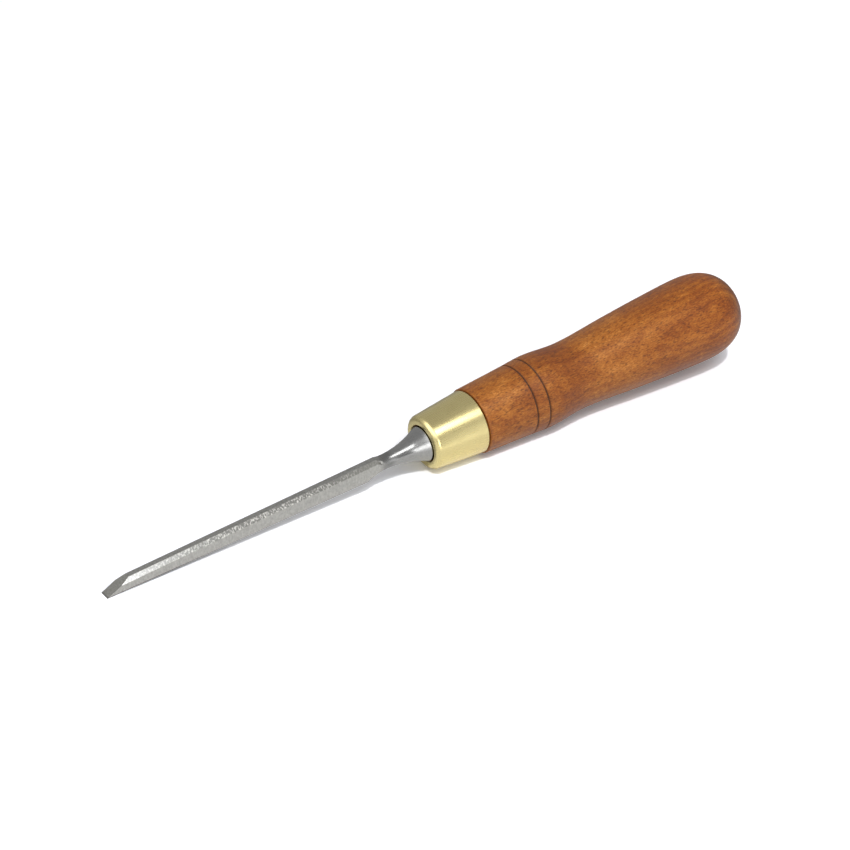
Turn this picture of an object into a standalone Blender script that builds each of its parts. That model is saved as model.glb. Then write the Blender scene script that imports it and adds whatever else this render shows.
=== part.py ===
"""Bevel edge chisel: a forged steel blade, a brass ferrule and a turned hardwood handle.

The pieces are modelled upright on the tool's own axis: +Z runs from the cutting edge to the butt and
+X is the side of the flat back. An empty then lays the tool on the bench, where it rests on its
cutting edge and on the rim of its handle's collar.
"""
import math

import bmesh
import bpy

# Blade: a bar with a flat back, upright lands, two side bevels and a narrow flat top
BLADE_WIDTH = 0.0040
BLADE_LENGTH = 0.0994
EDGE_DROP = 0.0017
HEEL_DROP = 0.00365
EDGE_THICKNESS = 0.00385
HEEL_THICKNESS = 0.0066
TOP_WIDTH = 0.0021
SIDE_BEVEL_DROP = 0.00148
CUTTING_ANGLE = math.radians(25.0)
HONING_ANGLE = math.radians(30.0)
HONED_LENGTH = 0.0006
GRINDING_ALLOWANCE = 0.0020

# Neck, bolster and tang, forged in one with the blade
RUN_OUT_LENGTH = 0.0075
BEVEL_RUN_OUT = 0.0032
NECK_RADIUS = 0.0026
FLARE_RADIUS = 0.0360
BOLSTER_RADIUS = 0.0063
BOLSTER_STAND = 0.0003
TANG_WIDTH = 0.0062
TANG_END_WIDTH = 0.0034
TANG_LENGTH = 0.0680

# Ferrule: a tapered brass cup with a rounded front shoulder
FERRULE_LENGTH = 0.0200
FERRULE_FRONT_RADIUS = 0.0097
FERRULE_REAR_RADIUS = 0.0115
FERRULE_WALL = 0.0013
FERRULE_SHOULDER = 0.0021
MOUTH_GAP = 0.00045

# Handle: places are distances behind its shoulder, which stands against the ferrule
HANDLE_LENGTH = 0.1169
COLLAR_STEP = 0.00040
COLLAR_ROUND = 0.0005
FRONT_GROOVE_AT = 0.0195
REAR_GROOVE_AT = 0.0246
GROOVE_WIDTH = 0.0009
GROOVE_DEPTH = 0.00045
REED_AT = 0.0190
REED_RADIUS = 0.01288
HUMP_AT = 0.0280
HUMP_RADIUS = 0.01342
WAIST_AT = 0.0425
WAIST_RADIUS = 0.01246
PALM_AT = 0.0590
PALM_RADIUS = 0.01348
SWELL_AT = 0.0880
SWELL_RADIUS = 0.01540
BULGE_AT = 0.0991
BULGE_RADIUS = 0.0158
BORE_END_SPACE = 0.0020

# Slopes of the grip's outline at its stations, and the butt's roundness as shares of its own depth
COLLAR_SLOPE = 0.050
REED_SLOPE = 0.055
PALM_SLOPE = 0.085
SWELL_SLOPE = 0.052
BUTT_SHOULDER_SHARE = 0.60
BUTT_CROWN_SHARE = 0.75

# Fits and fineness
CLEARANCE = 0.0003
GRINDING_BLOCK = 0.0500
ROUND_STEPS = 48
GRIP_STEP = 0.0028
BUTT_STEPS = 13
SHOULDER_STEPS = 6
RUN_OUT_STEPS = 14
FLARE_STEPS = 8
MERGE_DISTANCE = 0.00001
CREASE_ANGLE = math.radians(30.0)

# Points along the back, a land, a side bevel, the top, a side bevel and a land of one blade section
SECTION_DIVISIONS = (6, 6, 4, 6, 4, 6)
SECTION_POINTS = sum(SECTION_DIVISIONS)

# Places along the axis, from the cutting edge
NECK_START = BLADE_LENGTH + RUN_OUT_LENGTH
FLARE_DEPTH = BOLSTER_RADIUS - NECK_RADIUS
FLARE_LENGTH = math.sqrt(FLARE_RADIUS ** 2 - (FLARE_RADIUS - FLARE_DEPTH) ** 2)
BOLSTER_RIM = NECK_START + FLARE_LENGTH
FERRULE_FRONT = BOLSTER_RIM + BOLSTER_STAND
TENON_FRONT = FERRULE_FRONT + FERRULE_WALL + CLEARANCE
BOLSTER_SEAT = TENON_FRONT - CLEARANCE
HANDLE_SHOULDER = FERRULE_FRONT + FERRULE_LENGTH + CLEARANCE
TANG_END = BOLSTER_SEAT + TANG_LENGTH

COLLAR_RADIUS = FERRULE_REAR_RADIUS + COLLAR_STEP
MOUTH_RADIUS = BOLSTER_RADIUS + MOUTH_GAP
BACK_TILT = math.atan2(HEEL_DROP - EDGE_DROP, BLADE_LENGTH)

# The grip's stations: distance behind the shoulder, radius, slope
GRIP_STATIONS = (
    (0.0, COLLAR_RADIUS, COLLAR_SLOPE),
    (REED_AT, REED_RADIUS, REED_SLOPE),
    (HUMP_AT, HUMP_RADIUS, 0.0),
    (WAIST_AT, WAIST_RADIUS, 0.0),
    (PALM_AT, PALM_RADIUS, PALM_SLOPE),
    (SWELL_AT, SWELL_RADIUS, SWELL_SLOPE),
    (BULGE_AT, BULGE_RADIUS, 0.0),
)


def clear_scene():
    """Remove whatever the scene holds."""
    for obj in list(bpy.data.objects):
        bpy.data.objects.remove(obj, do_unlink=True)


def new_collection(name):
    """A collection under the scene's own."""
    collection = bpy.data.collections.new(name)
    bpy.context.scene.collection.children.link(collection)
    return collection


def new_material(name, colour, metallic, roughness):
    """A plain Principled material."""
    material = bpy.data.materials.new(name)
    material.use_nodes = True
    shader = material.node_tree.nodes["Principled BSDF"]
    shader.inputs["Base Color"].default_value = (*colour, 1.0)
    shader.inputs["Metallic"].default_value = metallic
    shader.inputs["Roughness"].default_value = roughness
    return material


def place(obj, collection, parent, height=0.0):
    """Put an object in its collection, on the tool's axis at a height above the cutting edge."""
    collection.objects.link(obj)
    obj.parent = parent
    obj.location = (0.0, 0.0, height)
    return obj


def shade_round(mesh):
    """Smooth shading with the real corners kept sharp."""
    mesh.shade_smooth()
    mesh.set_sharp_from_angle(angle=CREASE_ANGLE)


def turned(name, outline, closed, material, collection, parent, height):
    """A lathe-turned piece: an outline of (radius, height) points, swept round the axis."""
    count = len(outline)
    edges = [(i, i + 1) for i in range(count - 1)]
    if closed:
        edges.append((count - 1, 0))
    profile = bpy.data.meshes.new(name + "_outline")
    profile.from_pydata([(radius, 0.0, z) for radius, z in outline], edges, [])
    obj = place(bpy.data.objects.new(name, profile), collection, parent, height)
    screw = obj.modifiers.new("turn", "SCREW")
    screw.steps = ROUND_STEPS
    screw.render_steps = ROUND_STEPS
    screw.use_merge_vertices = True
    screw.merge_threshold = MERGE_DISTANCE
    evaluated = obj.evaluated_get(bpy.context.evaluated_depsgraph_get())
    solid = bpy.data.meshes.new_from_object(evaluated)
    obj.modifiers.clear()
    obj.data = solid
    bpy.data.meshes.remove(profile)
    solid.name = name
    solid.materials.append(material)
    shade_round(solid)
    return obj


def back_drop(z):
    """How far the flat back lies below the axis."""
    return EDGE_DROP + (HEEL_DROP - EDGE_DROP) * z / BLADE_LENGTH


def bar_thickness(z):
    """The blade's thickness from its back to its top."""
    return EDGE_THICKNESS + (HEEL_THICKNESS - EDGE_THICKNESS) * z / BLADE_LENGTH


def bar_section(z):
    """The bevelled section, from one back corner across the back and round to the start."""
    low = back_drop(z)
    high = low - bar_thickness(z)
    land = high + SIDE_BEVEL_DROP
    side = BLADE_WIDTH / 2
    top = TOP_WIDTH / 2
    corners = [(low, side), (low, -side), (land, -side), (high, -top), (high, top), (land, side)]
    points = []
    for i, divisions in enumerate(SECTION_DIVISIONS):
        x0, y0 = corners[i]
        x1, y1 = corners[(i + 1) % len(corners)]
        for step in range(divisions):
            share = step / divisions
            points.append((x0 + (x1 - x0) * share, y0 + (y1 - y0) * share))
    return points


def section_angles():
    """Directions that match the bevelled section's points, with the back centred on +X."""
    turn = 2 * math.pi / SECTION_POINTS
    first = SECTION_DIVISIONS[0] / 2 * turn
    return [first - i * turn for i in range(SECTION_POINTS)]


def round_section(radius):
    """A circle with the same number of points."""
    return [(radius * math.cos(a), radius * math.sin(a)) for a in section_angles()]


def square_section(width):
    """A square with the same number of points, its flats facing the back, the top and the sides."""
    points = []
    for angle in section_angles():
        reach = width / 2 / max(abs(math.cos(angle)), abs(math.sin(angle)))
        points.append((reach * math.cos(angle), reach * math.sin(angle)))
    return points


def run_out_lengths():
    """How far in front of the neck each point of a section starts to sweep: the back first, the top last."""
    early, late = RUN_OUT_LENGTH, BEVEL_RUN_OUT
    ends = ((early, early), (early, late), (late, late), (late, late), (late, late), (late, early))
    lengths = []
    for (start, end), divisions in zip(ends, SECTION_DIVISIONS):
        lengths += [start + (end - start) * step / divisions for step in range(divisions)]
    return lengths


def blade_rings():
    """Sections of the forging from in front of the cutting edge to the end of the tang."""
    rings = [(-GRINDING_ALLOWANCE, bar_section(-GRINDING_ALLOWANCE))]
    neck = round_section(NECK_RADIUS)
    lengths = run_out_lengths()
    # The ground faces sweep into the round neck along parabolas that end tangent to it
    for step in range(RUN_OUT_STEPS + 1):
        left = RUN_OUT_LENGTH * (1 - step / RUN_OUT_STEPS)
        bar = bar_section(NECK_START - left)
        blend = []
        for (bar_x, bar_y), (neck_x, neck_y), length in zip(bar, neck, lengths):
            share = min(1.0, left / length) ** 2
            blend.append((bar_x * share + neck_x * (1 - share), bar_y * share + neck_y * (1 - share)))
        rings.append((NECK_START - left, blend))
    # A hollow arc flares the neck out to the bolster
    for step in range(1, FLARE_STEPS + 1):
        forward = FLARE_LENGTH * step / FLARE_STEPS
        radius = NECK_RADIUS + FLARE_RADIUS - math.sqrt(FLARE_RADIUS ** 2 - forward ** 2)
        rings.append((NECK_START + forward, round_section(radius)))
    rings.append((BOLSTER_SEAT, round_section(BOLSTER_RADIUS)))
    rings.append((BOLSTER_SEAT, square_section(TANG_WIDTH)))
    rings.append((TANG_END, square_section(TANG_END_WIDTH)))
    return rings


def bevel_cutter(name, angle, along, collection, parent):
    """A block whose underside is a bevel's plane, met at a distance along the honed facet."""
    ahead = along * math.cos(HONING_ANGLE)
    above = along * math.sin(HONING_ANGLE)
    back_z, back_x = math.cos(BACK_TILT), math.sin(BACK_TILT)
    point_x = EDGE_DROP + ahead * back_x - above * back_z
    point_z = ahead * back_z + above * back_x
    out_x = -math.sin(angle) * back_x - math.cos(angle) * back_z
    out_z = -math.sin(angle) * back_z + math.cos(angle) * back_x
    bpy.ops.mesh.primitive_cube_add(size=GRINDING_BLOCK)
    cutter = bpy.context.object
    cutter.name = name
    for owner in list(cutter.users_collection):
        owner.objects.unlink(cutter)
    place(cutter, collection, parent)
    reach = GRINDING_BLOCK / 2
    cutter.location = (point_x + out_x * reach, 0.0, point_z + out_z * reach)
    cutter.rotation_euler = (0.0, math.atan2(out_x, out_z), 0.0)
    cutter.hide_render = True
    cutter.display_type = "WIRE"
    return cutter


def make_blade(parts, cutters, tool, material):
    """The forging, lofted through its sections, with the cutting bevel and its honed edge ground on."""
    mesh = bpy.data.meshes.new("blade")
    shape = bmesh.new()
    rings = [[shape.verts.new((x, y, z)) for x, y in points] for z, points in blade_rings()]
    for ring, following in zip(rings, rings[1:]):
        for i in range(SECTION_POINTS):
            j = (i + 1) % SECTION_POINTS
            shape.faces.new((ring[i], ring[j], following[j], following[i]))
    shape.faces.new(rings[0])
    shape.faces.new(rings[-1])
    bmesh.ops.recalc_face_normals(shape, faces=shape.faces)
    shape.to_mesh(mesh)
    shape.free()
    mesh.materials.append(material)
    shade_round(mesh)
    blade = place(bpy.data.objects.new("blade", mesh), parts, tool)
    grinds = (("cutting_bevel", CUTTING_ANGLE, HONED_LENGTH), ("honed_edge", HONING_ANGLE, 0.0))
    for name, angle, along in grinds:
        cut = blade.modifiers.new(name, "BOOLEAN")
        cut.operation = "DIFFERENCE"
        cut.solver = "EXACT"
        cut.object = bevel_cutter(name, angle, along, cutters, tool)
    return blade


def ferrule_radius(along):
    """The ferrule's outside radius at a distance behind its front."""
    return FERRULE_FRONT_RADIUS + (FERRULE_REAR_RADIUS - FERRULE_FRONT_RADIUS) * along / FERRULE_LENGTH


def ferrule_outline():
    """From the rear rim down the cone, round the shoulder, into the mouth and back up the inside."""
    cone = math.atan2(FERRULE_REAR_RADIUS - FERRULE_FRONT_RADIUS, FERRULE_LENGTH)
    turn = math.pi / 2 - cone
    centre_radius = FERRULE_FRONT_RADIUS - FERRULE_SHOULDER * math.tan(turn / 2)
    points = [(FERRULE_REAR_RADIUS, FERRULE_LENGTH)]
    for step in range(SHOULDER_STEPS + 1):
        angle = -cone - turn * step / SHOULDER_STEPS
        points.append((centre_radius + FERRULE_SHOULDER * math.cos(angle),
                       FERRULE_SHOULDER + FERRULE_SHOULDER * math.sin(angle)))
    points.append((MOUTH_RADIUS, 0.0))
    points.append((MOUTH_RADIUS, FERRULE_WALL))
    points.append((ferrule_radius(FERRULE_WALL) - FERRULE_WALL, FERRULE_WALL))
    points.append((FERRULE_REAR_RADIUS - FERRULE_WALL, FERRULE_LENGTH))
    return points


def grip_radius(along):
    """The grip's radius behind the shoulder, on smooth curves between its stations."""
    for (z0, r0, m0), (z1, r1, m1) in zip(GRIP_STATIONS, GRIP_STATIONS[1:]):
        if along <= z1:
            break
    span = z1 - z0
    t = (along - z0) / span
    start = (2 * t ** 3 - 3 * t ** 2 + 1) * r0 + (t ** 3 - 2 * t ** 2 + t) * span * m0
    finish = (3 * t ** 2 - 2 * t ** 3) * r1 + (t ** 3 - t ** 2) * span * m1
    return start + finish


def grip_points():
    """The grip from its bulge forward to the shoulder, with the two V grooves cut in."""
    grooves = (FRONT_GROOVE_AT, REAR_GROOVE_AT)
    half = GROOVE_WIDTH / 2
    count = round(BULGE_AT / GRIP_STEP)
    places = [BULGE_AT * i / count for i in range(1, count)]
    places = [z for z in places if all(abs(z - groove) > GROOVE_WIDTH for groove in grooves)]
    points = [(grip_radius(z), z) for z in places if z > 2 * COLLAR_ROUND]
    for groove in grooves:
        points.append((grip_radius(groove - half), groove - half))
        points.append((grip_radius(groove) - GROOVE_DEPTH, groove))
        points.append((grip_radius(groove + half), groove + half))
    return sorted(points, key=lambda point: -point[1])


def butt_points():
    """The domed butt, a curve from the crown on the axis out to the bulge."""
    depth = HANDLE_LENGTH - BULGE_AT
    points = []
    for step in range(BUTT_STEPS + 1):
        t = 1 - step / BUTT_STEPS
        rise = (3 * (1 - t) ** 2 * t * BUTT_SHOULDER_SHARE + 3 * (1 - t) * t ** 2 + t ** 3) * depth
        share = (1 - t) ** 3 + 3 * (1 - t) ** 2 * t + 3 * (1 - t) * t ** 2 * BUTT_CROWN_SHARE
        points.append((BULGE_RADIUS * share, BULGE_AT + rise))
    return points


def handle_outline():
    """From the crown of the butt down the grip, round the shoulder, along the tenon and up the bore."""
    points = butt_points() + grip_points()
    for step in range(SHOULDER_STEPS):
        angle = math.pi / 2 * step / (SHOULDER_STEPS - 1)
        points.append((grip_radius(COLLAR_ROUND) - COLLAR_ROUND * (1 - math.cos(angle)),
                       COLLAR_ROUND * (1 - math.sin(angle))))
    tenon_front = TENON_FRONT - HANDLE_SHOULDER
    inner_wall = FERRULE_WALL + CLEARANCE
    points.append((FERRULE_REAR_RADIUS - inner_wall, 0.0))
    points.append((ferrule_radius(TENON_FRONT - FERRULE_FRONT) - inner_wall, tenon_front))
    corner = math.sqrt(2) / 2
    bore_end = TANG_END + BORE_END_SPACE - HANDLE_SHOULDER
    points.append((TANG_WIDTH * corner + CLEARANCE, tenon_front))
    points.append((TANG_END_WIDTH * corner + CLEARANCE, bore_end))
    points.append((0.0, bore_end + TANG_END_WIDTH * corner))
    return points


def lay_on_bench(tool, outline):
    """Pitch the axis so that the edge and the handle touch the bench, centred over the origin."""
    touching = [(radius, HANDLE_SHOULDER + z) for radius, z in outline]
    pitch = max(math.atan2(radius - EDGE_DROP, z) for radius, z in touching)
    front = EDGE_DROP * math.sin(pitch)
    rear = max(radius * math.sin(pitch) + z * math.cos(pitch) for radius, z in touching)
    tool.rotation_euler = (0.0, math.pi / 2 - pitch, 0.0)
    tool.location = (-(front + rear) / 2, 0.0, EDGE_DROP * math.cos(pitch))


def main():
    """Build the chisel."""
    clear_scene()
    parts = new_collection("bevel_edge_chisel")
    cutters = new_collection("cutters")
    steel = new_material("ground_steel", (0.52, 0.52, 0.51), 1.0, 0.34)
    brass = new_material("satin_brass", (0.78, 0.66, 0.33), 1.0, 0.28)
    wood = new_material("stained_hornbeam", (0.36, 0.14, 0.05), 0.0, 0.42)

    tool = bpy.data.objects.new("tool_axis", None)
    parts.objects.link(tool)
    make_blade(parts, cutters, tool, steel)
    turned("ferrule", ferrule_outline(), True, brass, parts, tool, FERRULE_FRONT)
    outline = handle_outline()
    turned("handle", outline, False, wood, parts, tool, HANDLE_SHOULDER)
    lay_on_bench(tool, outline)


main()
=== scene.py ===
"""Looks of a narrow bevel edge chisel: ground steel, satin brass and stained hornbeam on a pale floor.

Each piece is shaped in millimetres, upright on the tool's own axis: +Z runs from the cutting edge to the
butt and +X is the side of the flat back. One matrix then lays the pieces on the floor, in metres, where the
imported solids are. The materials turn that matrix round, so that their patterns are in the tool's millimetres.
"""
import math

import bmesh
import bpy
from mathutils import Matrix, Vector

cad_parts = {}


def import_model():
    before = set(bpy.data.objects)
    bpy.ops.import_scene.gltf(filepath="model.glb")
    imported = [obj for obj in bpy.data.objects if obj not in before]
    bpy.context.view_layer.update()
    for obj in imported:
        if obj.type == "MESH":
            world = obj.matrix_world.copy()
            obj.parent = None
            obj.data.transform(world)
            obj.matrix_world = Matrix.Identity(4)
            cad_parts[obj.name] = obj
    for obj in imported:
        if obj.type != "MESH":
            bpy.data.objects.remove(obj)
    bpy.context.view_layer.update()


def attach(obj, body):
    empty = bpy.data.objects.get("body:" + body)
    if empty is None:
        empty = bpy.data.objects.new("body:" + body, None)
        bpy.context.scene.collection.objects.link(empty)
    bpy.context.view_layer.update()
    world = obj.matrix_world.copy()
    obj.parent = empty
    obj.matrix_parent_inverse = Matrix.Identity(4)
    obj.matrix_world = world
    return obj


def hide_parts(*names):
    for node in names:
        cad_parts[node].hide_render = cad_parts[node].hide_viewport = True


MILLIMETRES_PER_METRE = 1000.0

# Blade: flat back, upright lands, two side bevels, a narrow flat top and a cutting bevel
BLADE_WIDTH = 4.0
BLADE_LENGTH = 99.4
EDGE_DROP = 1.7
HEEL_DROP = 3.65
EDGE_THICKNESS = 3.85
HEEL_THICKNESS = 6.6
TOP_WIDTH = 2.1
SIDE_BEVEL_DROP = 1.48
CUTTING_ANGLE = math.radians(25.0)
HONING_ANGLE = math.radians(30.0)
HONED_LENGTH = 0.6
GRINDING_ALLOWANCE = 2.0
ARRIS = 0.06

# The small scoop where the wheel left each side bevel: its places in front of the neck and up the bevel
SCOOP_AT = 2.1
SCOOP_LENGTH = 0.8
SCOOP_UP = 0.47
SCOOP_HEIGHT = 0.4
SCOOP_DEPTH = 0.27

# Neck, bolster and tang
RUN_OUT_LENGTH = 7.5
BEVEL_RUN_OUT = 3.2
NECK_RADIUS = 2.6
FLARE_RADIUS = 36.0
BOLSTER_RADIUS = 6.3
BOLSTER_STAND = 0.3
TANG_WIDTH = 6.2
TANG_END_WIDTH = 3.4
TANG_LENGTH = 68.0

# Ferrule
FERRULE_LENGTH = 20.0
FERRULE_FRONT_RADIUS = 9.7
FERRULE_REAR_RADIUS = 11.5
FERRULE_WALL = 1.3
FERRULE_SHOULDER = 2.1
MOUTH_GAP = 0.45
MOUTH_ARRIS = 0.15
REAR_RIM = 0.40

# Handle: places are distances behind its shoulder
HANDLE_LENGTH = 116.9
COLLAR_STEP = 0.40
COLLAR_ROUND = 0.5
FRONT_GROOVE_AT = 19.5
REAR_GROOVE_AT = 24.6
GROOVE_WIDTH = 0.9
GROOVE_DEPTH = 0.45
GROOVE_ROUNDNESS = 1.4
BULGE_AT = 99.1
BULGE_RADIUS = 15.8
BUTT_SHOULDER_SHARE = 0.60
BUTT_CROWN_SHARE = 0.75
BORE_END_SPACE = 2.0
CLEARANCE = 0.3

# Fineness of the meshes
LATHE_FACETS = 160
GRIP_STEP = 0.9
BUTT_STEPS = 36
SHOULDER_STEPS = 12
RIM_STEPS = 6
GROOVE_STEPS = 8
BAR_STEPS = 12
RUN_OUT_STEPS = 60
FLARE_STEPS = 36
MERGE_DISTANCE = 0.0005
CREASE_ANGLE = math.radians(9.0)

# The blade's section: divisions of the back, land, side bevel, top, side bevel and land, in that order
SECTION_DIVISIONS = (17, 17, 11, 17, 11, 17)
SECTION_POINTS = sum(SECTION_DIVISIONS) + len(SECTION_DIVISIONS)
RISING_BEVEL = 2
FALLING_BEVEL = 4

# Places along the axis, from the cutting edge
NECK_START = BLADE_LENGTH + RUN_OUT_LENGTH
FLARE_DEPTH = BOLSTER_RADIUS - NECK_RADIUS
FLARE_LENGTH = math.sqrt(FLARE_RADIUS ** 2 - (FLARE_RADIUS - FLARE_DEPTH) ** 2)
FERRULE_FRONT = NECK_START + FLARE_LENGTH + BOLSTER_STAND
TENON_FRONT = FERRULE_FRONT + FERRULE_WALL + CLEARANCE
BOLSTER_SEAT = TENON_FRONT - CLEARANCE
HANDLE_SHOULDER = FERRULE_FRONT + FERRULE_LENGTH + CLEARANCE
TANG_END = BOLSTER_SEAT + TANG_LENGTH
COLLAR_RADIUS = FERRULE_REAR_RADIUS + COLLAR_STEP
MOUTH_RADIUS = BOLSTER_RADIUS + MOUTH_GAP
BACK_TILT = math.atan2(HEEL_DROP - EDGE_DROP, BLADE_LENGTH)

# The grip's stations: distance behind the shoulder, radius, slope
GRIP_STATIONS = (
    (0.0, COLLAR_RADIUS, 0.050),
    (19.0, 12.88, 0.055),
    (28.0, 13.42, 0.0),
    (42.5, 12.46, 0.0),
    (59.0, 13.48, 0.085),
    (88.0, 15.40, 0.052),
    (BULGE_AT, BULGE_RADIUS, 0.0),
)

# Camera: where it looks, how far off it stands, and its lens on a 36 mm sensor
LOOKS_AT = (-0.00598, 0.0, 0.01751)
CAMERA_DISTANCE = 0.780
CAMERA_AZIMUTH = math.radians(-35.63)
CAMERA_ELEVATION = math.radians(32.62)
LENS = 98.32
SENSOR = 36.0

# Sockets of a Mix node for colours: the share, the two colours and the result
SHARE, FIRST, SECOND, RESULT = 0, 6, 7, 2

# Grain and lines in the finishes: width across the tool and length along it, in millimetres
WHEEL_GRAIN = (0.8, 0.55)
BELT_LINES = (0.35, 12.0)
BRASS_CLOUDS = (2.5, 4.0)
DRAWN_LINES = (0.5, 9.0)
WOOD_CLOUDS = (8.0, 13.0)
WOOD_MOTTLE = (2.2, 3.6)
WOOD_FIBRES = (0.5, 3.0)
WOOD_GRAIN = (0.45, 0.9)
WOOD_FLECKS = (0.36, 1.5)

# Height of the bump that these lines give, in metres
LINE_HEIGHT = 0.00001
FIBRE_HEIGHT = 0.00003

# Growth layers in the handle: where the pith lies in millimetres, how it leans, and the wave's own scale
PITH_AT = (24.0, 29.0, 0.0)
PITH_LEAN = (math.radians(1.2), math.radians(-1.8), 0.0)
LAYER_SCALE = 0.13

# Floor: its reach in metres, and how much lighter than its own white the camera sees it
FLOOR_REACH = 3.0
CAMERA_PAPER = (1.12, 1.13, 1.18, 1.0)
CAMERA_LIFT = 0.03

# Floor as the metal sees it: where it turns grey behind the tool; where it brightens in front, and how much;
# and a bright strip, with its middle, the distances at which it is full and gone, and its strength
GREY_START, GREY_END = 0.0, 0.05
BRIGHT_FAR, BRIGHT_NEAR, BRIGHT_GAIN = -0.22, -0.04, 0.22
FLOOR_STRIP = (-0.090, 0.012, 0.042, 0.45)

# Room: its soft light in front and behind, and what the metal sees of it. Each patch has a gain, the side
# it is on, and where it begins, is full, begins to fade and is gone, across the room and up its wall
SKY_FRONT = 0.78
SKY_BEHIND = 0.02
ROOM_LEVEL = 0.54
WALL_LEAN = 0.6
ROOM_PATCHES = (
    # A pale wall low in front, and a dark gap beside it
    (1.25, "front", (0.21, 0.29, 0.34, 0.46), "upright", (-0.20, -0.10, 0.20, 0.70)),
    (-0.32, "front", (-0.22, -0.12, 0.12, 0.20), "upright", (-0.10, 0.00, 0.15, 0.30)),
    # The light on the ceiling to the left
    (0.55, "front", (-1.10, -1.00, -0.25, -0.12), "upright", (0.45, 0.65, 1.00, 1.10)),
    # A bright opening far to the left
    (2.2, "beside", (-1.10, -1.00, -0.54, -0.40), "leaning", (-0.05, 0.25, 1.20, 1.30)),
)

# Softboxes: direction from the tool, distance, width and height in metres, and radiance
OVERHEAD_SOFTBOX = ((0.022, -0.537, 0.843), 0.80, 0.395, 0.26, 5.6)
WINDOW_PANEL = ((-0.345, -0.919, 0.191), 1.00, 0.49, 0.46, 3.1)

# Main light: direction from the tool, spread and strength
SUN_DIRECTION = (-0.17, -0.45, 0.86)
SUN_SPREAD = math.radians(2.5)
SUN_STRENGTH = 1.38


def linear(hex_colour):
    """An sRGB hex colour as linear red, green, blue and alpha."""
    channels = [int(hex_colour[i:i + 2], 16) / 255 for i in (1, 3, 5)]
    low = [c / 12.92 if c <= 0.04045 else ((c + 0.055) / 1.055) ** 2.4 for c in channels]
    return (*low, 1.0)


def add_node(tree, kind, sockets=None, **settings):
    """Add a node, apply its settings, and set or link its input sockets by name or number."""
    node = tree.nodes.new(kind)
    for name, value in settings.items():
        setattr(node, name, value)
    for name, value in (sockets or {}).items():
        if isinstance(value, bpy.types.NodeSocket):
            tree.links.new(value, node.inputs[name])
        else:
            node.inputs[name].default_value = value
    return node


# Shapes


def back_drop(z):
    """How far the flat back lies below the axis."""
    return EDGE_DROP + (HEEL_DROP - EDGE_DROP) * z / BLADE_LENGTH


def bar_thickness(z):
    """The blade's thickness from its back to its top."""
    return EDGE_THICKNESS + (HEEL_THICKNESS - EDGE_THICKNESS) * z / BLADE_LENGTH


def bar_section(z):
    """The bevelled section with its arrises just broken, from one back corner round to the start."""
    low = back_drop(z)
    high = low - bar_thickness(z)
    land = high + SIDE_BEVEL_DROP
    side = BLADE_WIDTH / 2
    top = TOP_WIDTH / 2
    corners = [(low, side), (low, -side), (land, -side), (high, -top), (high, top), (land, side)]
    corners = [Vector(corner) for corner in corners]
    points = []
    for i, divisions in enumerate(SECTION_DIVISIONS):
        start, end = corners[i], corners[(i + 1) % len(corners)]
        inset = (end - start).normalized() * ARRIS
        for step in range(divisions + 1):
            points.append((start + inset).lerp(end - inset, step / divisions))
    return points


def section_angles():
    """Directions that match the bevelled section's points, with the back centred on +X."""
    turn = 2 * math.pi / SECTION_POINTS
    first = SECTION_DIVISIONS[0] / 2 * turn
    return [first - i * turn for i in range(SECTION_POINTS)]


def round_section(radius):
    """A circle with the same number of points."""
    return [Vector((radius * math.cos(a), radius * math.sin(a))) for a in section_angles()]


def square_section(width):
    """A square with the same number of points, its flats facing the back, the top and the sides."""
    points = []
    for angle in section_angles():
        direction = Vector((math.cos(angle), math.sin(angle)))
        points.append(direction * (width / 2 / max(abs(direction.x), abs(direction.y))))
    return points


def run_out_lengths():
    """How far in front of the neck each point of the section starts to sweep, the back first."""
    early, late = RUN_OUT_LENGTH, BEVEL_RUN_OUT
    ends = ((early, early), (early, late), (late, late), (late, late), (late, late), (late, early))
    lengths = []
    for (start, end), divisions in zip(ends, SECTION_DIVISIONS):
        lengths += [start + (end - start) * step / divisions for step in range(divisions + 1)]
    return lengths


def scoop_depths(left):
    """How deep the scoops in the two side bevels lie under each point of the section."""
    along = (left - SCOOP_AT) / SCOOP_LENGTH
    depths = []
    for edge, divisions in enumerate(SECTION_DIVISIONS):
        for step in range(divisions + 1):
            up = step / divisions if edge == RISING_BEVEL else 1 - step / divisions
            reach = 1 - along ** 2 - ((up - SCOOP_UP) / SCOOP_HEIGHT) ** 2
            bevelled = edge in (RISING_BEVEL, FALLING_BEVEL)
            depths.append(SCOOP_DEPTH * max(0.0, reach) if bevelled else 0.0)
    return depths


def blade_sections():
    """Heights and sections of the forging, from in front of the cutting edge to the end of the tang."""
    sections = []
    for step in range(BAR_STEPS):
        z = -GRINDING_ALLOWANCE + (BLADE_LENGTH + GRINDING_ALLOWANCE) * step / BAR_STEPS
        sections.append((z, bar_section(z)))
    # The ground faces sweep into the round neck along parabolas that end tangent to it
    neck = round_section(NECK_RADIUS)
    lengths = run_out_lengths()
    for step in range(RUN_OUT_STEPS + 1):
        left = RUN_OUT_LENGTH * (1 - step / RUN_OUT_STEPS)
        bar = bar_section(NECK_START - left)
        shares = [min(1.0, left / length) ** 2 for length in lengths]
        blend = [n.lerp(b, share) for b, n, share in zip(bar, neck, shares)]
        blend = [point - point.normalized() * depth for point, depth in zip(blend, scoop_depths(left))]
        sections.append((NECK_START - left, blend))
    # A hollow arc flares the neck out to the bolster
    for step in range(1, FLARE_STEPS + 1):
        forward = FLARE_LENGTH * step / FLARE_STEPS
        radius = NECK_RADIUS + FLARE_RADIUS - math.sqrt(FLARE_RADIUS ** 2 - forward ** 2)
        sections.append((NECK_START + forward, round_section(radius)))
    sections.append((BOLSTER_SEAT, round_section(BOLSTER_RADIUS)))
    sections.append((BOLSTER_SEAT, square_section(TANG_WIDTH)))
    sections.append((TANG_END, square_section(TANG_END_WIDTH)))
    return sections


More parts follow.
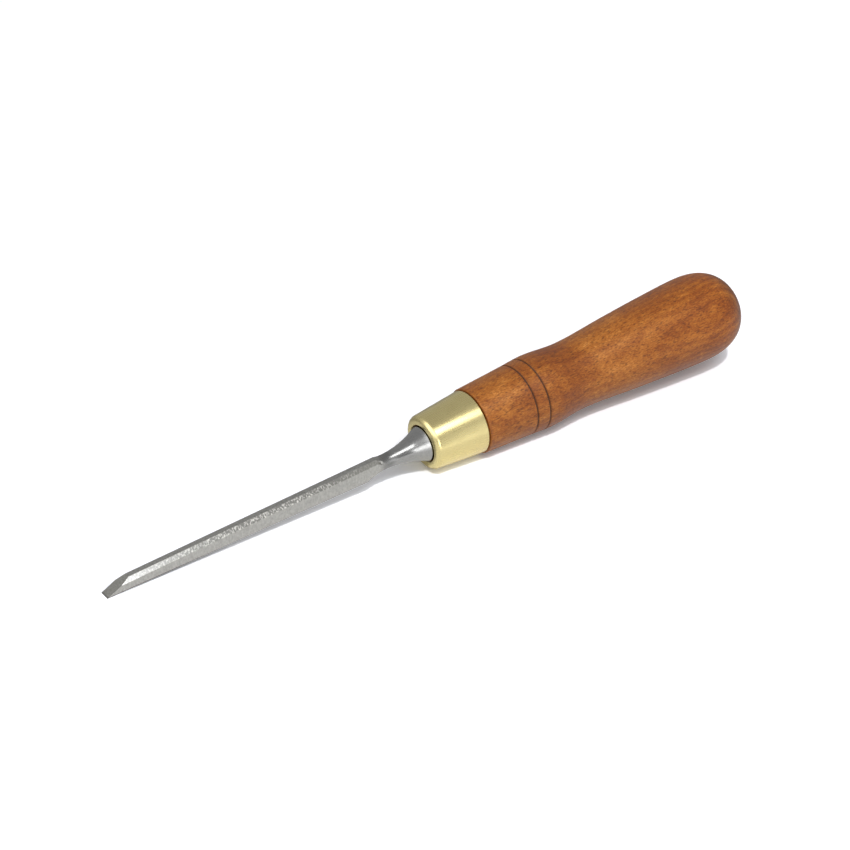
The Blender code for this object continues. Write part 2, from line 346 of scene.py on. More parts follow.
def grind(shape, angle, along):
    """Grind a bevel's plane onto the blade, met at a distance along the honing facet from the edge."""
    back = Vector((math.sin(BACK_TILT), 0.0, math.cos(BACK_TILT)))
    rise = Vector((-math.cos(BACK_TILT), 0.0, math.sin(BACK_TILT)))
    edge = Vector((EDGE_DROP, 0.0, 0.0))
    met = edge + back * (along * math.cos(HONING_ANGLE)) + rise * (along * math.sin(HONING_ANGLE))
    outward = rise * math.cos(angle) - back * math.sin(angle)
    everything = list(shape.verts) + list(shape.edges) + list(shape.faces)
    cut = bmesh.ops.bisect_plane(shape, geom=everything, plane_co=met, plane_no=outward, clear_outer=True)
    rim = [item for item in cut["geom_cut"] if isinstance(item, bmesh.types.BMEdge)]
    bmesh.ops.holes_fill(shape, edges=rim, sides=0)


def make_blade(finish):
    """The forging, lofted through its sections, with its cutting bevel and its honing facet ground on."""
    shape = bmesh.new()
    rings = [[shape.verts.new((p.x, p.y, z)) for p in points] for z, points in blade_sections()]
    for ring, following in zip(rings, rings[1:]):
        for i in range(SECTION_POINTS):
            j = (i + 1) % SECTION_POINTS
            shape.faces.new((ring[i], ring[j], following[j], following[i]))
    shape.faces.new(rings[0])
    shape.faces.new(rings[-1])
    grind(shape, CUTTING_ANGLE, HONED_LENGTH)
    grind(shape, HONING_ANGLE, 0.0)
    bmesh.ops.recalc_face_normals(shape, faces=shape.faces)
    mesh = bpy.data.meshes.new("blade_forging")
    shape.to_mesh(mesh)
    shape.free()
    mesh.materials.append(finish)
    return mesh


def ferrule_radius(along):
    """The ferrule's outside radius at a distance behind its front."""
    return FERRULE_FRONT_RADIUS + (FERRULE_REAR_RADIUS - FERRULE_FRONT_RADIUS) * along / FERRULE_LENGTH


def ferrule_outline():
    """From the rear rim down the cone, round the shoulder, into the mouth and back up the inside."""
    cone = math.atan2(FERRULE_REAR_RADIUS - FERRULE_FRONT_RADIUS, FERRULE_LENGTH)
    turn = math.pi / 2 - cone
    centre_radius = FERRULE_FRONT_RADIUS - FERRULE_SHOULDER * math.tan(turn / 2)
    points = []
    for step in range(RIM_STEPS + 1):
        angle = math.pi / 2 * (1 - step / RIM_STEPS)
        points.append((ferrule_radius(FERRULE_LENGTH - REAR_RIM) - REAR_RIM * (1 - math.cos(angle)),
                       FERRULE_LENGTH - REAR_RIM * (1 - math.sin(angle))))
    for step in range(SHOULDER_STEPS + 1):
        angle = -cone - turn * step / SHOULDER_STEPS
        points.append((centre_radius + FERRULE_SHOULDER * math.cos(angle),
                       FERRULE_SHOULDER + FERRULE_SHOULDER * math.sin(angle)))
    points.append((MOUTH_RADIUS + MOUTH_ARRIS, 0.0))
    points.append((MOUTH_RADIUS, MOUTH_ARRIS))
    points.append((MOUTH_RADIUS, FERRULE_WALL))
    points.append((ferrule_radius(FERRULE_WALL) - FERRULE_WALL, FERRULE_WALL))
    points.append((FERRULE_REAR_RADIUS - FERRULE_WALL, FERRULE_LENGTH))
    points.append(points[0])
    return [(radius, FERRULE_FRONT + z) for radius, z in points]


def grip_radius(along):
    """The grip's radius behind the shoulder, on smooth curves between its stations."""
    for (z0, r0, m0), (z1, r1, m1) in zip(GRIP_STATIONS, GRIP_STATIONS[1:]):
        if along <= z1:
            break
    span = z1 - z0
    t = (along - z0) / span
    start = (2 * t ** 3 - 3 * t ** 2 + 1) * r0 + (t ** 3 - 2 * t ** 2 + t) * span * m0
    finish = (3 * t ** 2 - 2 * t ** 3) * r1 + (t ** 3 - t ** 2) * span * m1
    return start + finish


def grip_points():
    """The grip from its bulge forward to the shoulder, with the two burnt grooves cut in."""
    grooves = (FRONT_GROOVE_AT, REAR_GROOVE_AT)
    count = round(BULGE_AT / GRIP_STEP)
    places = [BULGE_AT * i / count for i in range(1, count)]
    places = [z for z in places if all(abs(z - groove) > GROOVE_WIDTH for groove in grooves)]
    points = [(grip_radius(z), z) for z in places if z > 2 * COLLAR_ROUND]
    for groove in grooves:
        for step in range(GROOVE_STEPS + 1):
            across = 2 * step / GROOVE_STEPS - 1
            z = groove + across * GROOVE_WIDTH / 2
            points.append((grip_radius(z) - GROOVE_DEPTH * (1 - abs(across) ** GROOVE_ROUNDNESS), z))
    return sorted(points, key=lambda point: -point[1])


def butt_points():
    """The domed butt, a curve from the crown on the axis out to the bulge."""
    depth = HANDLE_LENGTH - BULGE_AT
    points = []
    for step in range(BUTT_STEPS + 1):
        t = 1 - step / BUTT_STEPS
        rise = (3 * (1 - t) ** 2 * t * BUTT_SHOULDER_SHARE + 3 * (1 - t) * t ** 2 + t ** 3) * depth
        share = (1 - t) ** 3 + 3 * (1 - t) ** 2 * t + 3 * (1 - t) * t ** 2 * BUTT_CROWN_SHARE
        points.append((BULGE_RADIUS * share, BULGE_AT + rise))
    return points


def handle_outline():
    """From the crown of the butt down the grip, round the shoulder, along the tenon and up the bore."""
    points = butt_points() + grip_points()
    for step in range(SHOULDER_STEPS + 1):
        angle = math.pi / 2 * step / SHOULDER_STEPS
        points.append((grip_radius(COLLAR_ROUND) - COLLAR_ROUND * (1 - math.cos(angle)),
                       COLLAR_ROUND * (1 - math.sin(angle))))
    tenon_front = TENON_FRONT - HANDLE_SHOULDER
    inner_wall = FERRULE_WALL + CLEARANCE
    points.append((FERRULE_REAR_RADIUS - inner_wall, 0.0))
    points.append((ferrule_radius(TENON_FRONT - FERRULE_FRONT) - inner_wall, tenon_front))
    corner = math.sqrt(2) / 2
    bore_end = TANG_END + BORE_END_SPACE - HANDLE_SHOULDER
    points.append((TANG_WIDTH * corner + CLEARANCE, tenon_front))
    points.append((TANG_END_WIDTH * corner + CLEARANCE, bore_end))
    points.append((0.0, bore_end + TANG_END_WIDTH * corner))
    return [(radius, HANDLE_SHOULDER + z) for radius, z in points]


def lathe_tree():
    """Geometry nodes that turn an outline of points round the tool's axis."""
    tree = bpy.data.node_groups.new("turned_on_the_lathe", "GeometryNodeTree")
    tree.is_modifier = True
    tree.interface.new_socket("Outline", in_out="INPUT", socket_type="NodeSocketGeometry")
    for name, kind in (("Facets", "NodeSocketInt"), ("Finish", "NodeSocketMaterial")):
        tree.interface.new_socket(name, in_out="INPUT", socket_type=kind)
    tree.interface.new_socket("Turned", in_out="OUTPUT", socket_type="NodeSocketGeometry")
    given = add_node(tree, "NodeGroupInput").outputs
    # A sheet with one row for each outline point and one column for each facet, and one more to close it
    size = add_node(tree, "GeometryNodeAttributeDomainSize", {0: given["Outline"]})
    columns = add_node(tree, "FunctionNodeIntegerMath", {0: given["Facets"], 1: 1}, operation="ADD")
    sheet = add_node(tree, "GeometryNodeMeshGrid", {"Vertices X": size.outputs["Point Count"],
                                                    "Vertices Y": columns.outputs[0]})
    index = add_node(tree, "GeometryNodeInputIndex")
    row = add_node(tree, "FunctionNodeIntegerMath", {0: index.outputs[0], 1: columns.outputs[0]},
                   operation="DIVIDE_FLOOR")
    column = add_node(tree, "FunctionNodeIntegerMath", {0: index.outputs[0], 1: columns.outputs[0]},
                      operation="MODULO")
    place = add_node(tree, "GeometryNodeInputPosition")
    point = add_node(tree, "GeometryNodeSampleIndex", {"Geometry": given["Outline"], "Index": row.outputs[0]},
                     data_type="FLOAT_VECTOR")
    tree.links.new(place.outputs[0], point.inputs["Value"])
    share = add_node(tree, "ShaderNodeMath", {0: column.outputs[0], 1: given["Facets"]}, operation="DIVIDE")
    angle = add_node(tree, "ShaderNodeMath", {0: share.outputs[0], 1: 2 * math.pi}, operation="MULTIPLY")
    turned = add_node(tree, "ShaderNodeVectorRotate", {"Vector": point.outputs[0], "Angle": angle.outputs[0]},
                      rotation_type="Z_AXIS")
    placed = add_node(tree, "GeometryNodeSetPosition", {"Geometry": sheet.outputs["Mesh"],
                                                        "Position": turned.outputs[0]})
    merged = add_node(tree, "GeometryNodeMergeByDistance", {"Geometry": placed.outputs[0],
                                                            "Distance": MERGE_DISTANCE})
    real = add_node(tree, "GeometryNodeRealizeInstances", {"Geometry": merged.outputs[0]})
    finished = add_node(tree, "GeometryNodeSetMaterial", {"Geometry": real.outputs[0],
                                                          "Material": given["Finish"]})
    add_node(tree, "NodeGroupOutput", {"Turned": finished.outputs[0]})
    return tree


def turned_mesh(name, outline, tree, finish):
    """Run an outline of radii and heights through the lathe and keep the plain mesh."""
    profile = bpy.data.meshes.new(name + "_outline")
    profile.from_pydata([(radius, 0.0, z) for radius, z in outline], [], [])
    blank = bpy.data.objects.new(name + "_blank", profile)
    bpy.context.scene.collection.objects.link(blank)
    lathe = blank.modifiers.new("lathe", "NODES")
    lathe.node_group = tree
    inputs = {item.name: item.identifier for item in tree.interface.items_tree if item.in_out == "INPUT"}
    lathe[inputs["Facets"]] = LATHE_FACETS
    lathe[inputs["Finish"]] = finish
    mesh = bpy.data.meshes.new_from_object(blank.evaluated_get(bpy.context.evaluated_depsgraph_get()))
    bpy.data.objects.remove(blank)
    bpy.data.meshes.remove(profile)
    shape = bmesh.new()
    shape.from_mesh(mesh)
    bmesh.ops.recalc_face_normals(shape, faces=shape.faces)
    shape.to_mesh(mesh)
    shape.free()
    return mesh


def lie_of_the_tool(outline):
    """The matrix that lays the upright tool on the floor, on its cutting edge and its handle's collar."""
    pitch = max(math.atan2(radius - EDGE_DROP, z) for radius, z in outline)
    front = EDGE_DROP * math.sin(pitch)
    rear = max(radius * math.sin(pitch) + z * math.cos(pitch) for radius, z in outline)
    moved = Matrix.Translation((-(front + rear) / 2, 0.0, EDGE_DROP * math.cos(pitch)))
    turned = Matrix.Rotation(math.pi / 2 - pitch, 4, "Y")
    return Matrix.Scale(1 / MILLIMETRES_PER_METRE, 4) @ moved @ turned


def lay_down(name, mesh, lie, node):
    """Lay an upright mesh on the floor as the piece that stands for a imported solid."""
    mesh.transform(lie)
    mesh.name = name
    mesh.shade_smooth()
    mesh.set_sharp_from_angle(angle=CREASE_ANGLE)
    piece = bpy.data.objects.new(name, mesh)
    bpy.context.scene.collection.objects.link(piece)
    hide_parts(node)
    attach(piece, "root")


# Finishes


def new_finish(name, lie):
    """An empty material, its Principled shader, and the surface's place in the tool's own millimetres."""
    finish = bpy.data.materials.new(name)
    finish.use_nodes = True
    tree = finish.node_tree
    upright = lie.inverted()
    place, turn, scale = upright.decompose()
    coordinates = add_node(tree, "ShaderNodeTexCoord")
    mapping = add_node(tree, "ShaderNodeMapping", {
        "Vector": coordinates.outputs["Object"], "Location": place,
        "Rotation": turn.to_euler(), "Scale": scale})
    return finish, tree, tree.nodes["Principled BSDF"], mapping.outputs[0]


def streaks(tree, place, size, detail=2.0):
    """Noise in cells of one size across the tool and another along it."""
    across, along = size
    cells = add_node(tree, "ShaderNodeVectorMath", {0: place, 1: (1 / across, 1 / across, 1 / along)},
                     operation="MULTIPLY")
    noise = add_node(tree, "ShaderNodeTexNoise", {"Vector": cells.outputs[0], "Scale": 1.0, "Detail": detail})
    return noise.outputs["Fac"]


def band(tree, value, centre, full, gone, strength, fade="SMOOTHSTEP"):
    """A strength that holds within one distance of a centre and is gone at another."""
    away = add_node(tree, "ShaderNodeMath", {0: value, 1: centre}, operation="SUBTRACT")
    away = add_node(tree, "ShaderNodeMath", {0: away.outputs[0]}, operation="ABSOLUTE")
    return add_node(tree, "ShaderNodeMapRange", {
        "Value": away.outputs[0], "From Min": full, "From Max": gone, "To Min": strength, "To Max": 0.0},
        interpolation_type=fade).outputs[0]


def ground_steel(lie):
    """Tool steel: grey ground faces with painted shade where they lie level and on the cutting bevel, a painted
    highlight and painted glints on the side bevels towards the edge, and a polished neck.
    """
    finish, tree, shader, place = new_finish("surface_ground_tool_steel", lie)
    spot = add_node(tree, "ShaderNodeSeparateXYZ", {0: place}).outputs
    normal = add_node(tree, "ShaderNodeNewGeometry").outputs["Normal"]
    facing = add_node(tree, "ShaderNodeSeparateXYZ", {0: normal}).outputs
    along = add_node(tree, "ShaderNodeMapRange", {"Value": spot["Z"], "From Max": BLADE_LENGTH}).outputs[0]
    back = add_node(tree, "ShaderNodeMapRange", {
        "Value": spot["Z"], "From Max": BLADE_LENGTH, "To Min": EDGE_DROP, "To Max": HEEL_DROP}).outputs[0]
    above = add_node(tree, "ShaderNodeMath", {0: back, 1: spot["X"]}, operation="SUBTRACT").outputs[0]
    # The wheel's grain is drawn coarser than the grit leaves it, so that it still shows at arm's length
    grit = streaks(tree, place, WHEEL_GRAIN, detail=1.0)
    belt = streaks(tree, place, BELT_LINES)
    ground = add_node(tree, "ShaderNodeMapRange", {
        "Value": spot["Z"], "From Min": NECK_START - BEVEL_RUN_OUT, "From Max": NECK_START + 1.0,
        "To Min": 1.0, "To Max": 0.0}, interpolation_type="SMOOTHSTEP").outputs[0]
    # What each share follows, the span over which it changes, and its values at the two ends
    share = {}
    for name, follows, start, end, first, last in (
            ("painted_glint", grit, 0.45, 0.70, 0.70, 2.20),
            ("quiet at the tip", along, 0.15, 0.45, 0.28, 1.0),
            ("quiet at the heel", along, 0.80, 1.0, 1.0, 0.2),
            ("leaning", facing["Z"], 0.25, 0.40, 0.0, 1.0),
            ("level", facing["Z"], 0.70, 0.85, 0.0, 1.0),
            ("cutting", facing["X"], -0.30, -0.20, 1.0, 0.0),
            ("lower arris", above, 0.10, 0.42, 1.0, 0.0),
            ("front half", along, 0.20, 0.50, 1.0, 0.0),
            ("roughness", ground, 0.0, 1.0, 0.19, 0.36)):
        share[name] = add_node(tree, "ShaderNodeMapRange", {
            "Value": follows, "From Min": start, "From Max": end, "To Min": first, "To Max": last}).outputs[0]
    # Grey faces with painted shade, darker where they lie level and on the cutting bevel, and a neck with the
    # belt's lines
    tones = {}
    for name, pattern, dark, light in (
            ("lands", grit, "#92918D", "#C0BFBB"), ("painted_shade_tops", grit, "#7C7B77", "#B6B5B1"),
            ("honed", grit, "#7C7B76", "#A8A7A2"), ("neck", belt, "#858584", "#A3A3A2")):
        tones[name] = add_node(tree, "ShaderNodeMix", {
            SHARE: pattern, FIRST: linear(dark), SECOND: linear(light)}, data_type="RGBA").outputs[RESULT]
    # Painted highlight: the side bevels are bright by the edge and fade towards the neck, with painted glints
    # across them
    fade = add_node(tree, "ShaderNodeValToRGB", {"Fac": along})
    stops = fade.color_ramp.elements
    stops[0].position, stops[0].color = 0.10, linear("#DCDCDA")
    stops[1].position, stops[1].color = 1.0, linear("#8F8E89")
    for stop, tone in ((0.18, "#C0C0BD"), (0.33, "#A3A39F"), (0.53, "#94938F"), (0.72, "#989793")):
        stops.new(stop).color = linear(tone)
    painted_glint_strength = add_node(tree, "ShaderNodeMath", {0: share["quiet at the heel"], 1: share["quiet at the tip"]},
                      operation="MULTIPLY").outputs[0]
    bevels = add_node(tree, "ShaderNodeMix", {
        SHARE: painted_glint_strength, FIRST: fade.outputs["Color"], SECOND: share["painted_glint"]},
        data_type="RGBA", blend_type="MULTIPLY", clamp_result=True).outputs[RESULT]
    # Painted shade: a thin dark stripe drawn along the lower arris of the front half
    painted_arris_shade = add_node(tree, "ShaderNodeMath", {0: share["lower arris"], 1: share["front half"]},
                    operation="MULTIPLY").outputs[0]
    # Painted highlight on the side bevels, and painted shade on the level faces, the cutting bevel and the
    # lower arris
    tone = tones["lands"]
    for part, cover, blend in (
            (share["leaning"], bevels, "MIX"), (share["level"], tones["painted_shade_tops"], "MIX"),
            (share["cutting"], tones["honed"], "MIX"), (painted_arris_shade, linear("#A4A4A4"), "MULTIPLY")):
        tone = add_node(tree, "ShaderNodeMix", {SHARE: part, FIRST: tone, SECOND: cover},
                        data_type="RGBA", blend_type=blend).outputs[RESULT]
    tone = add_node(tree, "ShaderNodeMix", {SHARE: ground, FIRST: tones["neck"], SECOND: tone},
                    data_type="RGBA").outputs[RESULT]
    # Painted dark reflection: the root of the neck is drawn darker
    root = band(tree, spot["Z"], NECK_START + 0.5, 1.0, 3.5, 1.0)
    tone = add_node(tree, "ShaderNodeMix", {SHARE: root, FIRST: tone, SECOND: linear("#DCDCDC")},
                    data_type="RGBA", blend_type="MULTIPLY").outputs[RESULT]
    tree.links.new(tone, shader.inputs["Base Color"])
    tree.links.new(share["roughness"], shader.inputs["Roughness"])
    bump = add_node(tree, "ShaderNodeBump", {"Height": belt, "Strength": 0.4, "Distance": LINE_HEIGHT})
    tree.links.new(bump.outputs[0], shader.inputs["Normal"])
    # The scratches run along the tool, so the lustre spreads round it
    axis = lie.to_3x3() @ Vector((0.0, 0.0, 1.0))
    spread = add_node(tree, "ShaderNodeVectorMath", {0: normal, 1: axis.normalized()},
                      operation="CROSS_PRODUCT")
    tree.links.new(spread.outputs[0], shader.inputs["Tangent"])
    shader.inputs["Anisotropic"].default_value = 0.85
    shader.inputs["Metallic"].default_value = 1.0
    return finish


def satin_brass(lie):
    """Drawn brass, buffed: pale straw yellow with a soft gloss and faint lengthwise lines."""
    finish, tree, shader, place = new_finish("buffed_drawn_brass", lie)
    cloud = streaks(tree, place, BRASS_CLOUDS)
    tone = add_node(tree, "ShaderNodeMix", {
        SHARE: cloud, FIRST: linear("#CEBF88"), SECOND: linear("#D7C991")}, data_type="RGBA").outputs[RESULT]
    tree.links.new(tone, shader.inputs["Base Color"])
    drawn = streaks(tree, place, DRAWN_LINES)
    gloss = add_node(tree, "ShaderNodeMapRange", {"Value": drawn, "From Min": 0.3, "From Max": 0.7,
                                                  "To Min": 0.26, "To Max": 0.30})
    tree.links.new(gloss.outputs[0], shader.inputs["Roughness"])
    bump = add_node(tree, "ShaderNodeBump", {"Height": drawn, "Strength": 0.3, "Distance": LINE_HEIGHT})
    tree.links.new(bump.outputs[0], shader.inputs["Normal"])
    shader.inputs["Metallic"].default_value = 1.0
    return finish


def stained_hornbeam(lie):
    """Turned hornbeam, stained orange brown and waxed: fine grain, short dark flecks, a satin sheen."""
    finish, tree, shader, place = new_finish("stained_waxed_hornbeam", lie)
    height = add_node(tree, "ShaderNodeSeparateXYZ", {0: place}).outputs["Z"]
    fibres = streaks(tree, place, WOOD_FIBRES)
    flecks = streaks(tree, place, WOOD_FLECKS, detail=1.0)
    front, butt = HANDLE_SHOULDER, HANDLE_SHOULDER + HANDLE_LENGTH
    # What each share follows, the span over which it changes, its values at the two ends, and how it changes
    share = {}
    for name, follows, start, end, first, last, fade in (
            ("figure", height, front + 80.0, front + 108.0, 0.08, 0.17, "LINEAR"),
            ("collar", height, front + 12.0, front + 22.0, 0.05, 0.0, "SMOOTHSTEP"),
            ("richer", height, front + 55.0, front + 110.0, 0.0, 0.8, "LINEAR"),
            ("end grain", height, butt - 12.5, butt - 4.0, 0.0, 1.0, "SMOOTHSTEP"),
            ("flecks", flecks, 0.52, 0.70, 0.0, 0.65, "LINEAR"),
            ("roughness", fibres, 0.3, 0.7, 0.40, 0.52, "LINEAR")):
        share[name] = add_node(tree, "ShaderNodeMapRange", {
            "Value": follows, "From Min": start, "From Max": end, "To Min": first, "To Max": last},
            interpolation_type=fade).outputs[0]
    # Growth layers round a pith that lies outside the blank and leans a little
    pith = add_node(tree, "ShaderNodeMapping", {"Vector": place, "Location": PITH_AT, "Rotation": PITH_LEAN})
    layers = add_node(tree, "ShaderNodeTexWave", {
        "Vector": pith.outputs[0], "Scale": LAYER_SCALE, "Distortion": 5.0, "Detail": 2.0,
        "Detail Scale": 0.6}, wave_type="RINGS", rings_direction="Z")
    # How pale the stain left the wood: the layers, broad clouds, mottle, the fibres and the grain
    pale = add_node(tree, "ShaderNodeMath", {0: layers.outputs["Fac"], 1: 0.5}, operation="SUBTRACT")
    pale = add_node(tree, "ShaderNodeMath", {0: pale.outputs[0], 1: share["figure"], 2: -0.08},
                    operation="MULTIPLY_ADD").outputs[0]
    clouds, mottle, grain = (streaks(tree, place, size) for size in (WOOD_CLOUDS, WOOD_MOTTLE, WOOD_GRAIN))
    for pattern, amount in ((clouds, 0.38), (mottle, 0.30), (fibres, 0.22), (grain, 0.60)):
        pale = add_node(tree, "ShaderNodeMath", {0: pattern, 1: amount, 2: pale},
                        operation="MULTIPLY_ADD").outputs[0]
    # The stain gathers behind the grooves; the wood is paler on the collar and in the waist
    gathered = band(tree, height, front + 36.5, 2.0, 13.0, 0.13)
    paler_in_the_waist = band(tree, height, front + 57.0, 8.0, 26.0, 0.09)
    for amount, way in ((gathered, "SUBTRACT"), (share["collar"], "ADD"), (paler_in_the_waist, "ADD")):
        pale = add_node(tree, "ShaderNodeMath", {0: pale, 1: amount}, operation=way).outputs[0]
    tones = add_node(tree, "ShaderNodeValToRGB", {"Fac": pale})
    stops = tones.color_ramp.elements
    stops[0].position, stops[0].color = 0.35, linear("#6C320B")
    stops[1].position, stops[1].color = 1.0, linear("#C07E3D")
    for stop, tone in ((0.63, "#8B4C15"), (0.83, "#A86726")):
        stops.new(stop).color = linear(tone)
    # Short dark flecks, two burnt grooves, a richer stain towards the butt, and more of it in the end grain
    covers = [(share["flecks"], "#43200B", "MIX")]
    for groove in (FRONT_GROOVE_AT, REAR_GROOVE_AT):
        covers.append((band(tree, height, front + groove, 0.10, 0.48, 0.85), "#2A150A", "MIX"))
    covers.append((share["richer"], "#F9EABC", "MULTIPLY"))
    covers.append((share["end grain"], "#BEBEBE", "MULTIPLY"))
    wood = tones.outputs["Color"]
    for part, tone, blend in covers:
        wood = add_node(tree, "ShaderNodeMix", {SHARE: part, FIRST: wood, SECOND: linear(tone)},
                        data_type="RGBA", blend_type=blend).outputs[RESULT]
    tree.links.new(wood, shader.inputs["Base Color"])
    shader.inputs["Specular IOR Level"].default_value = 0.40
    tree.links.new(share["roughness"], shader.inputs["Roughness"])
    bump = add_node(tree, "ShaderNodeBump", {"Height": fibres, "Strength": 0.4, "Distance": FIBRE_HEIGHT})
    tree.links.new(bump.outputs[0], shader.inputs["Normal"])
    return finish


# Studio


def make_floor():
    """A pale paper floor that keeps the tool's shadow; to the metal it is grey behind and bright in front."""
    mesh = bpy.data.meshes.new("pale_floor")
    reach = FLOOR_REACH
    mesh.from_pydata([(-reach, -reach, 0), (reach, -reach, 0), (reach, reach, 0), (-reach, reach, 0)],
                     [], [(0, 1, 2, 3)])
    floor = bpy.data.objects.new("pale_floor", mesh)
    bpy.context.scene.collection.objects.link(floor)
    paper = bpy.data.materials.new("pale_studio_paper")
    paper.use_nodes = True
    tree = paper.node_tree
    tree.nodes.clear()
    rays = add_node(tree, "ShaderNodeLightPath").outputs
    place = add_node(tree, "ShaderNodeTexCoord").outputs["Object"]
    depth = add_node(tree, "ShaderNodeSeparateXYZ", {0: place}).outputs["Y"]
    behind = add_node(tree, "ShaderNodeMapRange", {
        "Value": depth, "From Min": GREY_START, "From Max": GREY_END})
    ahead = add_node(tree, "ShaderNodeMapRange", {
        "Value": depth, "From Min": BRIGHT_FAR, "From Max": BRIGHT_NEAR,
        "To Min": BRIGHT_GAIN, "To Max": 0.0})
    strip = band(tree, depth, *FLOOR_STRIP, fade="LINEAR")
    # Grey to the metal behind the tool and to light that bounces
    shade = add_node(tree, "ShaderNodeMath", {0: behind.outputs[0], 1: rays["Is Glossy Ray"],
                                              2: rays["Is Diffuse Ray"]}, operation="MULTIPLY_ADD")
    tone = add_node(tree, "ShaderNodeMix", {
        SHARE: shade.outputs[0], FIRST: linear("#FFFFFF"), SECOND: linear("#A4A4A4")}, data_type="RGBA")
    # The camera alone sees the paper a little lighter, so that it is white where no shadow falls
    tone = add_node(tree, "ShaderNodeMix", {
        SHARE: rays["Is Camera Ray"], FIRST: tone.outputs[RESULT], SECOND: CAMERA_PAPER}, data_type="RGBA")
    matt = add_node(tree, "ShaderNodeBsdfDiffuse", {"Color": tone.outputs[RESULT]})
    # The metal sees it brighter further out in front and along a strip in front of the tool
    bright = add_node(tree, "ShaderNodeMath", {0: ahead.outputs[0], 1: strip}, operation="ADD")
    lift = add_node(tree, "ShaderNodeMath", {0: rays["Is Camera Ray"], 1: CAMERA_LIFT}, operation="MULTIPLY")
    lift = add_node(tree, "ShaderNodeMath", {
        0: bright.outputs[0], 1: rays["Is Glossy Ray"], 2: lift.outputs[0]}, operation="MULTIPLY_ADD")
    glow = add_node(tree, "ShaderNodeEmission", {"Color": linear("#FFFFFF"), "Strength": lift.outputs[0]})
    both = add_node(tree, "ShaderNodeAddShader", {0: matt.outputs[0], 1: glow.outputs[0]})
    add_node(tree, "ShaderNodeOutputMaterial", {"Surface": both.outputs[0]})
    mesh.materials.append(paper)


def make_world():
    """Soft light from the front; the camera sees white, the metal a grey room with pale and dark patches."""
    world = bpy.data.worlds.new("studio")
    bpy.context.scene.world = world
    world.use_nodes = True
    tree = world.node_tree
    tree.nodes.clear()
    rays = add_node(tree, "ShaderNodeLightPath").outputs
    direction = add_node(tree, "ShaderNodeTexCoord").outputs["Generated"]
    parts = add_node(tree, "ShaderNodeSeparateXYZ", {0: direction}).outputs
    lean = add_node(tree, "ShaderNodeMath", {0: parts["Y"], 1: WALL_LEAN, 2: parts["Z"]},
                    operation="MULTIPLY_ADD")
    walls = {"upright": parts["Z"], "leaning": lean.outputs[0]}
    # The span of the direction's depth over which each value changes, and its values at the two ends
    depths = {}
    for name, start, end, first, last in (("sky", -1.0, 1.0, SKY_FRONT, SKY_BEHIND),
                                          ("front", -0.4, -0.1, 1.0, 0.0), ("beside", 0.35, 0.60, 1.0, 0.0)):
        depths[name] = add_node(tree, "ShaderNodeMapRange", {
            "Value": parts["Y"], "From Min": start, "From Max": end,
            "To Min": first, "To Max": last}).outputs[0]
    level = ROOM_LEVEL
    for gain, side, across, wall, up in ROOM_PATCHES:
        patch = depths[side]
        for value, (start, full, fading, gone) in ((parts["X"], across), (walls[wall], up)):
            for begin, end, first, last in ((start, full, 0.0, 1.0), (fading, gone, 1.0, 0.0)):
                edge = add_node(tree, "ShaderNodeMapRange", {
                    "Value": value, "From Min": begin, "From Max": end, "To Min": first, "To Max": last})
                patch = add_node(tree, "ShaderNodeMath", {0: patch, 1: edge.outputs[0]},
                                 operation="MULTIPLY").outputs[0]
        level = add_node(tree, "ShaderNodeMath", {0: patch, 1: gain, 2: level},
                         operation="MULTIPLY_ADD").outputs[0]
    reflected = add_node(tree, "ShaderNodeMath", {0: rays["Is Glossy Ray"], 1: rays["Is Transmission Ray"]},
                         operation="MAXIMUM")
    soft = add_node(tree, "ShaderNodeBackground", {"Color": linear("#FFFFFF"), "Strength": depths["sky"]})
    room = add_node(tree, "ShaderNodeBackground", {"Color": linear("#FFFFFF"), "Strength": level})
    white = add_node(tree, "ShaderNodeBackground", {"Color": linear("#FFFFFF"), "Strength": 1.0})
    metal = add_node(tree, "ShaderNodeMixShader", {0: reflected.outputs[0], 1: soft.outputs[0],
                                                   2: room.outputs[0]})
    view = add_node(tree, "ShaderNodeMixShader", {0: rays["Is Camera Ray"], 1: metal.outputs[0],
                                                  2: white.outputs[0]})
    add_node(tree, "ShaderNodeOutputWorld", {"Surface": view.outputs[0]})


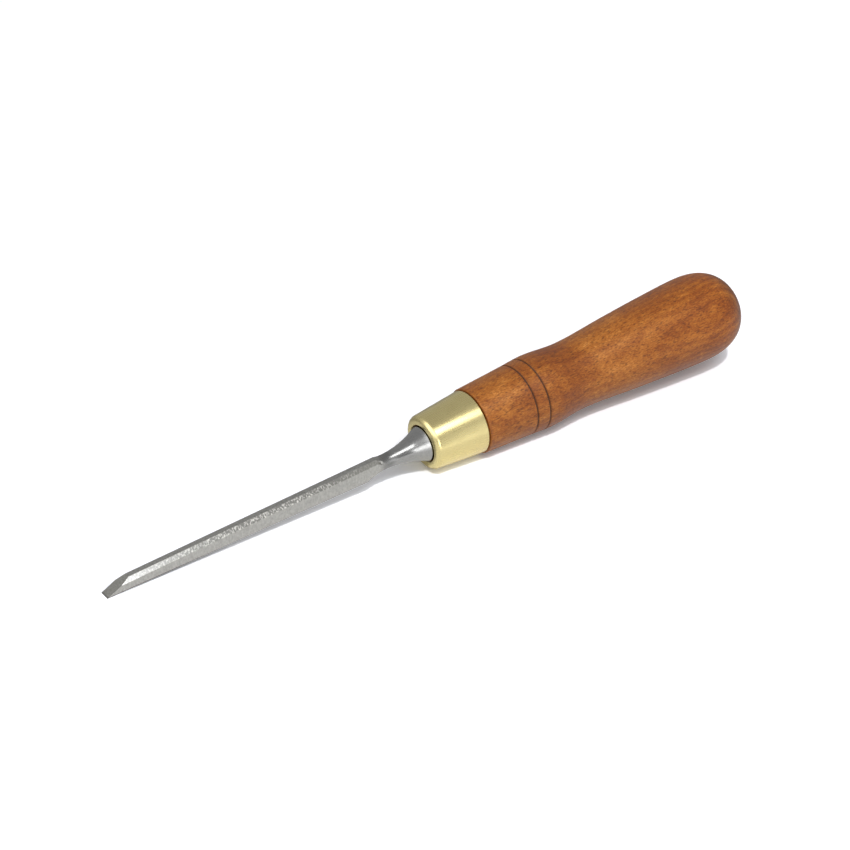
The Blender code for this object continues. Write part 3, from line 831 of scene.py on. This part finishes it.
def add_softbox(name, direction, distance, width, height, radiance):
    """A rectangular softbox that faces the tool; its power follows from its size and radiance."""
    lamp = bpy.data.lights.new(name, "AREA")
    lamp.shape = "RECTANGLE"
    lamp.size = width
    lamp.size_y = height
    lamp.energy = radiance * math.pi * width * height
    box = bpy.data.objects.new(name, lamp)
    bpy.context.scene.collection.objects.link(box)
    aim = Vector(direction).normalized()
    box.location = Vector(LOOKS_AT) + aim * distance
    box.rotation_euler = aim.to_track_quat("Z", "Y").to_euler()
    box.visible_camera = False


def add_sun(name, direction, spread, strength):
    """An even main light with soft shadow edges; the metal shows the softboxes and not this."""
    lamp = bpy.data.lights.new(name, "SUN")
    lamp.angle = spread
    lamp.energy = strength
    sun = bpy.data.objects.new(name, lamp)
    bpy.context.scene.collection.objects.link(sun)
    sun.rotation_euler = Vector(direction).to_track_quat("Z", "Y").to_euler()
    sun.visible_glossy = False


def make_camera():
    """The camera at the photograph's angle."""
    lens = bpy.data.cameras.new("camera")
    lens.lens = LENS
    lens.sensor_width = SENSOR
    lens.sensor_fit = "HORIZONTAL"
    camera = bpy.data.objects.new("camera", lens)
    bpy.context.scene.collection.objects.link(camera)
    level = math.cos(CAMERA_ELEVATION)
    away = Vector((math.sin(CAMERA_AZIMUTH) * level, -math.cos(CAMERA_AZIMUTH) * level,
                   math.sin(CAMERA_ELEVATION)))
    camera.location = Vector(LOOKS_AT) + away * CAMERA_DISTANCE
    camera.rotation_euler = away.to_track_quat("Z", "Y").to_euler()
    bpy.context.scene.camera = camera


def main():
    """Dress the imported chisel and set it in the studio."""
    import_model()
    outline = handle_outline()
    lie = lie_of_the_tool(outline)
    steel, brass, wood = ground_steel(lie), satin_brass(lie), stained_hornbeam(lie)
    lathe = lathe_tree()
    lay_down("blade_forging", make_blade(steel), lie, "blade")
    lay_down("brass_ferrule", turned_mesh("brass_ferrule", ferrule_outline(), lathe, brass), lie,
             "ferrule")
    lay_down("turned_handle", turned_mesh("turned_handle", outline, lathe, wood), lie,
             "handle")
    make_floor()
    make_world()
    add_softbox("overhead_softbox", *OVERHEAD_SOFTBOX)
    add_softbox("window_panel", *WINDOW_PANEL)
    add_sun("main_light", SUN_DIRECTION, SUN_SPREAD, SUN_STRENGTH)
    make_camera()
    bpy.context.scene.view_settings.view_transform = "Standard"


main()
